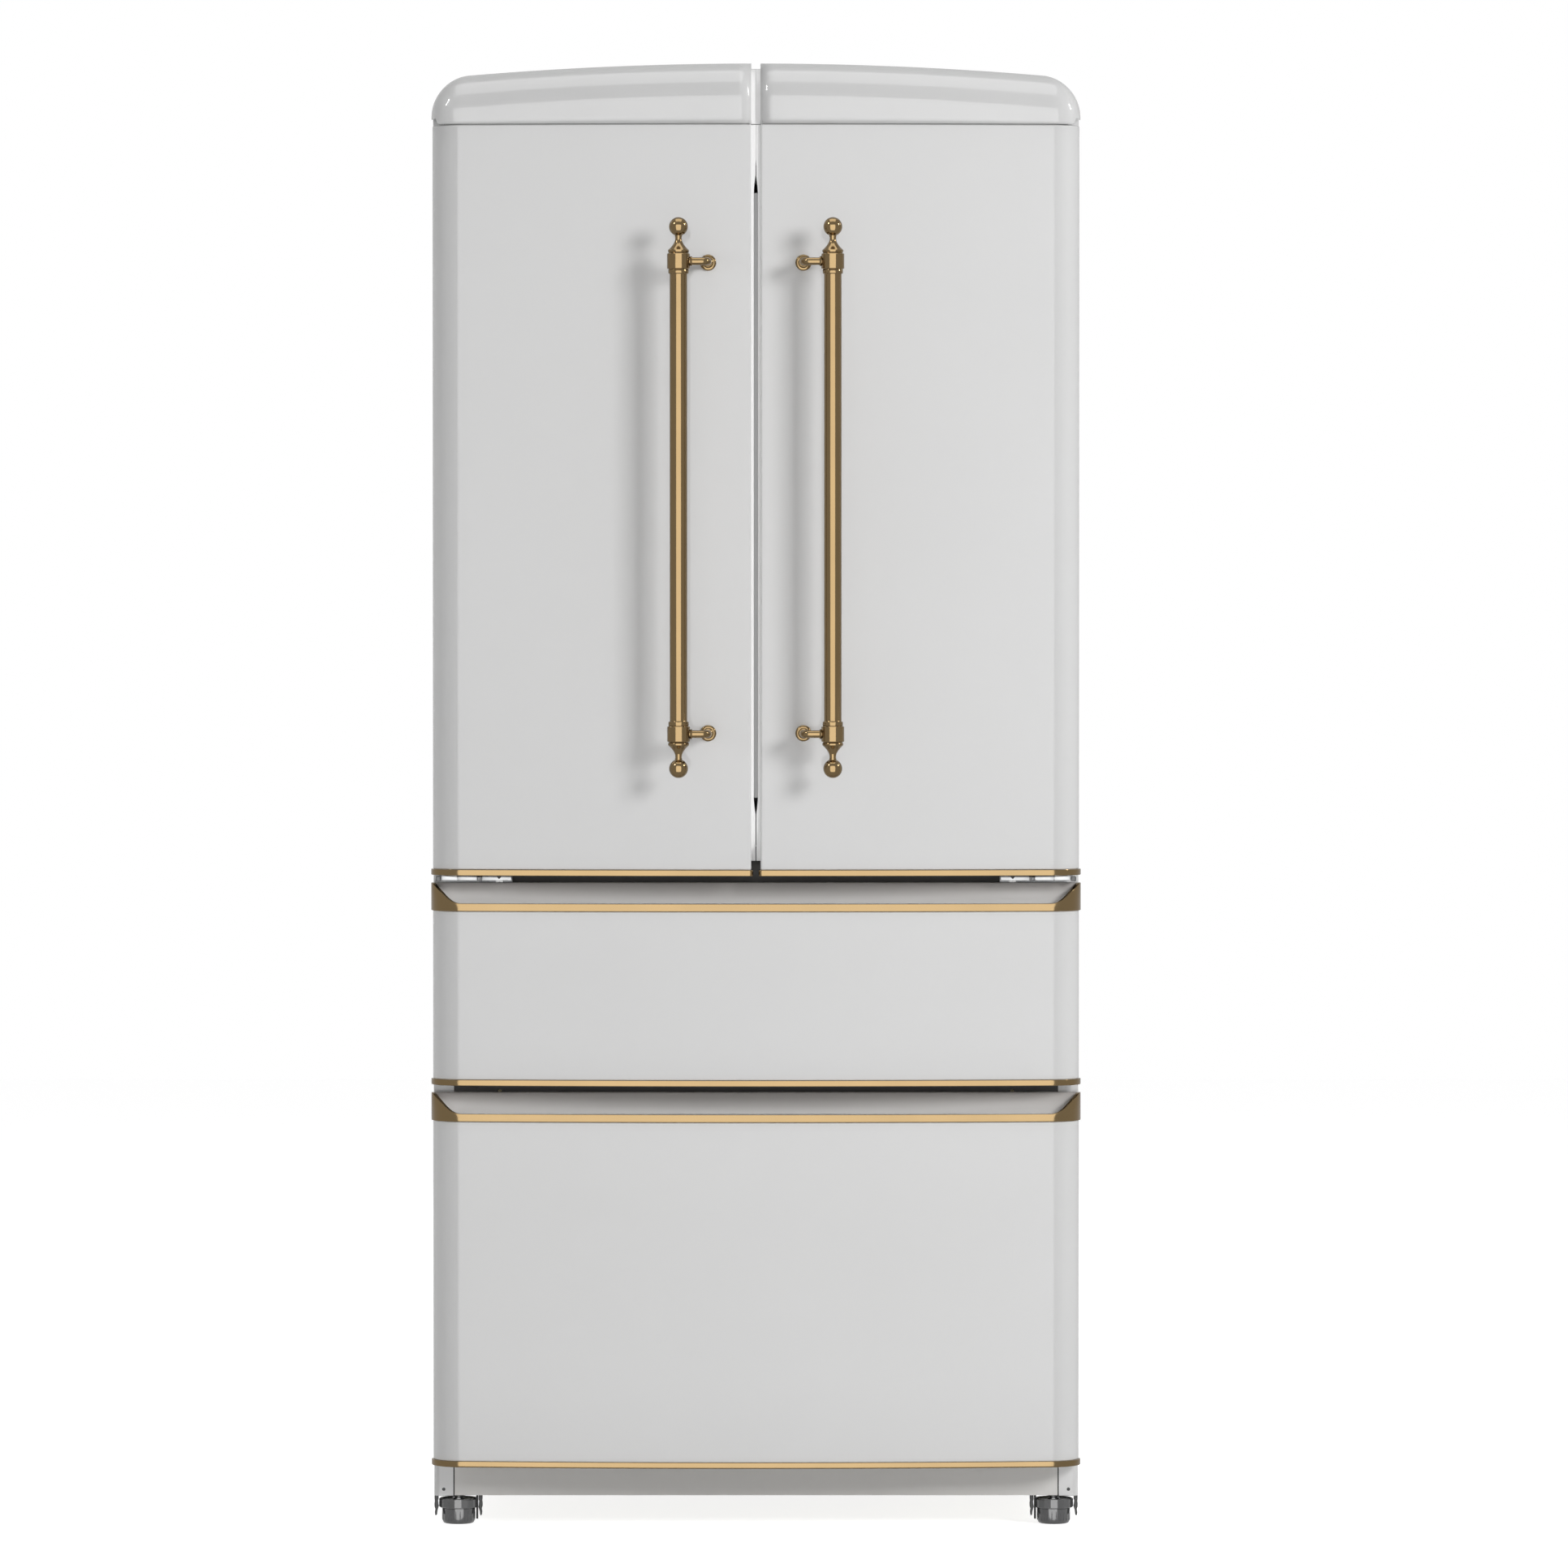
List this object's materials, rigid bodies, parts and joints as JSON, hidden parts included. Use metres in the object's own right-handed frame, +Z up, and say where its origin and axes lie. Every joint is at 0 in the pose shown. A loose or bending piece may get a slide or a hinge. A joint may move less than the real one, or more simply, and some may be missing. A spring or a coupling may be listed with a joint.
{
  "type": "french door refrigerator",
  "caption": "White french door refrigerator with an arched crown, bowed fronts, brass bar handles and trims, over two full-width drawers with scooped grips.",
  "frame": {"origin": "on the floor under the middle of the overall box", "axes": "+Z up, +Y towards the back; the doors face -Y"},
  "size_m": [0.8046, 0.74, 1.8106],
  "materials": {
    "painted_white": "satin paint",
    "crown_white": "gloss",
    "liner_white": "satin",
    "foam": "matte foam",
    "dark_steel": "matte black paint",
    "galvanised": "galvanised",
    "hinge_steel": "plated",
    "glass": "clear with green edge",
    "clear_plastic": "translucent",
    "gasket_rubber": "matte",
    "brass": "satin gold",
    "mullion_grey": "satin",
    "dark_plastic": "satin"
  },
  "bodies": {
    "cabinet": {"cabinet_shell": "painted_white", "top_cap": "crown_white", "insulation": "foam", "fridge_liner": "liner_white", "pantry_liner": "liner_white", "freezer_liner": "liner_white", "front_rails": "dark_steel", "rear_panel": "galvanised", "base_frame": "dark_steel", "kick_plate": "painted_white", "machine_cover": "galvanised", "compressor": "dark_steel", "condenser": "dark_steel", "fan_motor": "galvanised", "top_hinges": "hinge_steel", "middle_hinges": "hinge_steel", "screws": "hinge_steel", "shelf_frames": "liner_white", "shelf_glass": "glass", "crispers": "clear_plastic", "light": "liner_white", "mullion_guide": "liner_white", "outer_rails": "galvanised", "power_inlet": "dark_plastic"},
    "left_door": {"left_panel": "painted_white", "left_inner_pan": "liner_white", "left_crown": "crown_white", "left_trim": "brass", "left_gasket": "gasket_rubber", "left_bar": "brass", "left_posts": "brass", "left_bins": "clear_plastic"},
    "right_door": {"right_panel": "painted_white", "right_inner_pan": "liner_white", "right_crown": "crown_white", "right_trim": "brass", "right_gasket": "gasket_rubber", "right_bar": "brass", "right_posts": "brass", "right_bins": "clear_plastic"},
    "mullion_bar": {"mullion": "mullion_grey"},
    "upper_drawer": {"upper_front": "painted_white", "upper_inner_pan": "liner_white", "upper_grip": "liner_white", "upper_trims": "brass", "upper_gasket": "gasket_rubber", "upper_bin": "clear_plastic"},
    "upper_slide_members": {"upper_slides": "galvanised"},
    "lower_drawer": {"lower_front": "painted_white", "lower_inner_pan": "liner_white", "lower_grip": "liner_white", "lower_trims": "brass", "lower_gasket": "gasket_rubber", "lower_bin": "clear_plastic"},
    "lower_slide_members": {"lower_slides": "galvanised"},
    "condenser_fan": {"fan": "dark_plastic"},
    "left_levelling_foot": {"left_foot": "dark_plastic"},
    "right_levelling_foot": {"right_foot": "dark_plastic"},
    "left_rear_roller": {"left_roller": "dark_plastic"},
    "right_rear_roller": {"right_roller": "dark_plastic"}
  },
  "joints": [
    {"name": "left_door_hinge", "type": "hinge", "parent": "cabinet", "child": "left_door", "pos_m": [-0.372, -0.268, 1.27], "axis": [0, 0, -1], "range_deg": [0, 105]},
    {"name": "right_door_hinge", "type": "hinge", "parent": "cabinet", "child": "right_door", "pos_m": [0.372, -0.268, 1.27], "axis": [0, 0, 1], "range_deg": [0, 105]},
    {"name": "mullion_pivot", "type": "hinge", "parent": "left_door", "child": "mullion_bar", "pos_m": [-0.02, -0.217, 1.27], "axis": [0, 0, 1], "range_deg": [0, 85]},
    {"name": "upper_drawer_slide", "type": "slide", "parent": "cabinet", "child": "upper_drawer", "axis": [0, -1, 0], "range_m": [0, 0.4]},
    {"name": "upper_member_slide", "type": "slide", "parent": "cabinet", "child": "upper_slide_members", "axis": [0, -1, 0], "range_m": [0, 0.2]},
    {"name": "lower_drawer_slide", "type": "slide", "parent": "cabinet", "child": "lower_drawer", "axis": [0, -1, 0], "range_m": [0, 0.4]},
    {"name": "lower_member_slide", "type": "slide", "parent": "cabinet", "child": "lower_slide_members", "axis": [0, -1, 0], "range_m": [0, 0.2]},
    {"name": "condenser_fan_spin", "type": "hinge", "parent": "cabinet", "child": "condenser_fan", "pos_m": [0.036, 0.255, 0.165], "axis": [1, 0, 0], "continuous": true},
    {"name": "left_foot_turn", "type": "hinge", "parent": "cabinet", "child": "left_levelling_foot", "pos_m": [-0.37, -0.213, 0.04], "axis": [0, 0, 1], "continuous": true},
    {"name": "right_foot_turn", "type": "hinge", "parent": "cabinet", "child": "right_levelling_foot", "pos_m": [0.37, -0.213, 0.04], "axis": [0, 0, 1], "continuous": true},
    {"name": "left_roller_spin", "type": "hinge", "parent": "cabinet", "child": "left_rear_roller", "pos_m": [-0.33, 0.3, 0.02], "axis": [1, 0, 0], "continuous": true},
    {"name": "right_roller_spin", "type": "hinge", "parent": "cabinet", "child": "right_rear_roller", "pos_m": [0.33, 0.3, 0.02], "axis": [1, 0, 0], "continuous": true}
  ],
  "couplings": [
    {"joint": "mullion_pivot", "follows": "left_door_hinge", "ratio": 0.78},
    {"joint": "upper_member_slide", "follows": "upper_drawer_slide", "ratio": 0.5},
    {"joint": "lower_member_slide", "follows": "lower_drawer_slide", "ratio": 0.5}
  ]
}
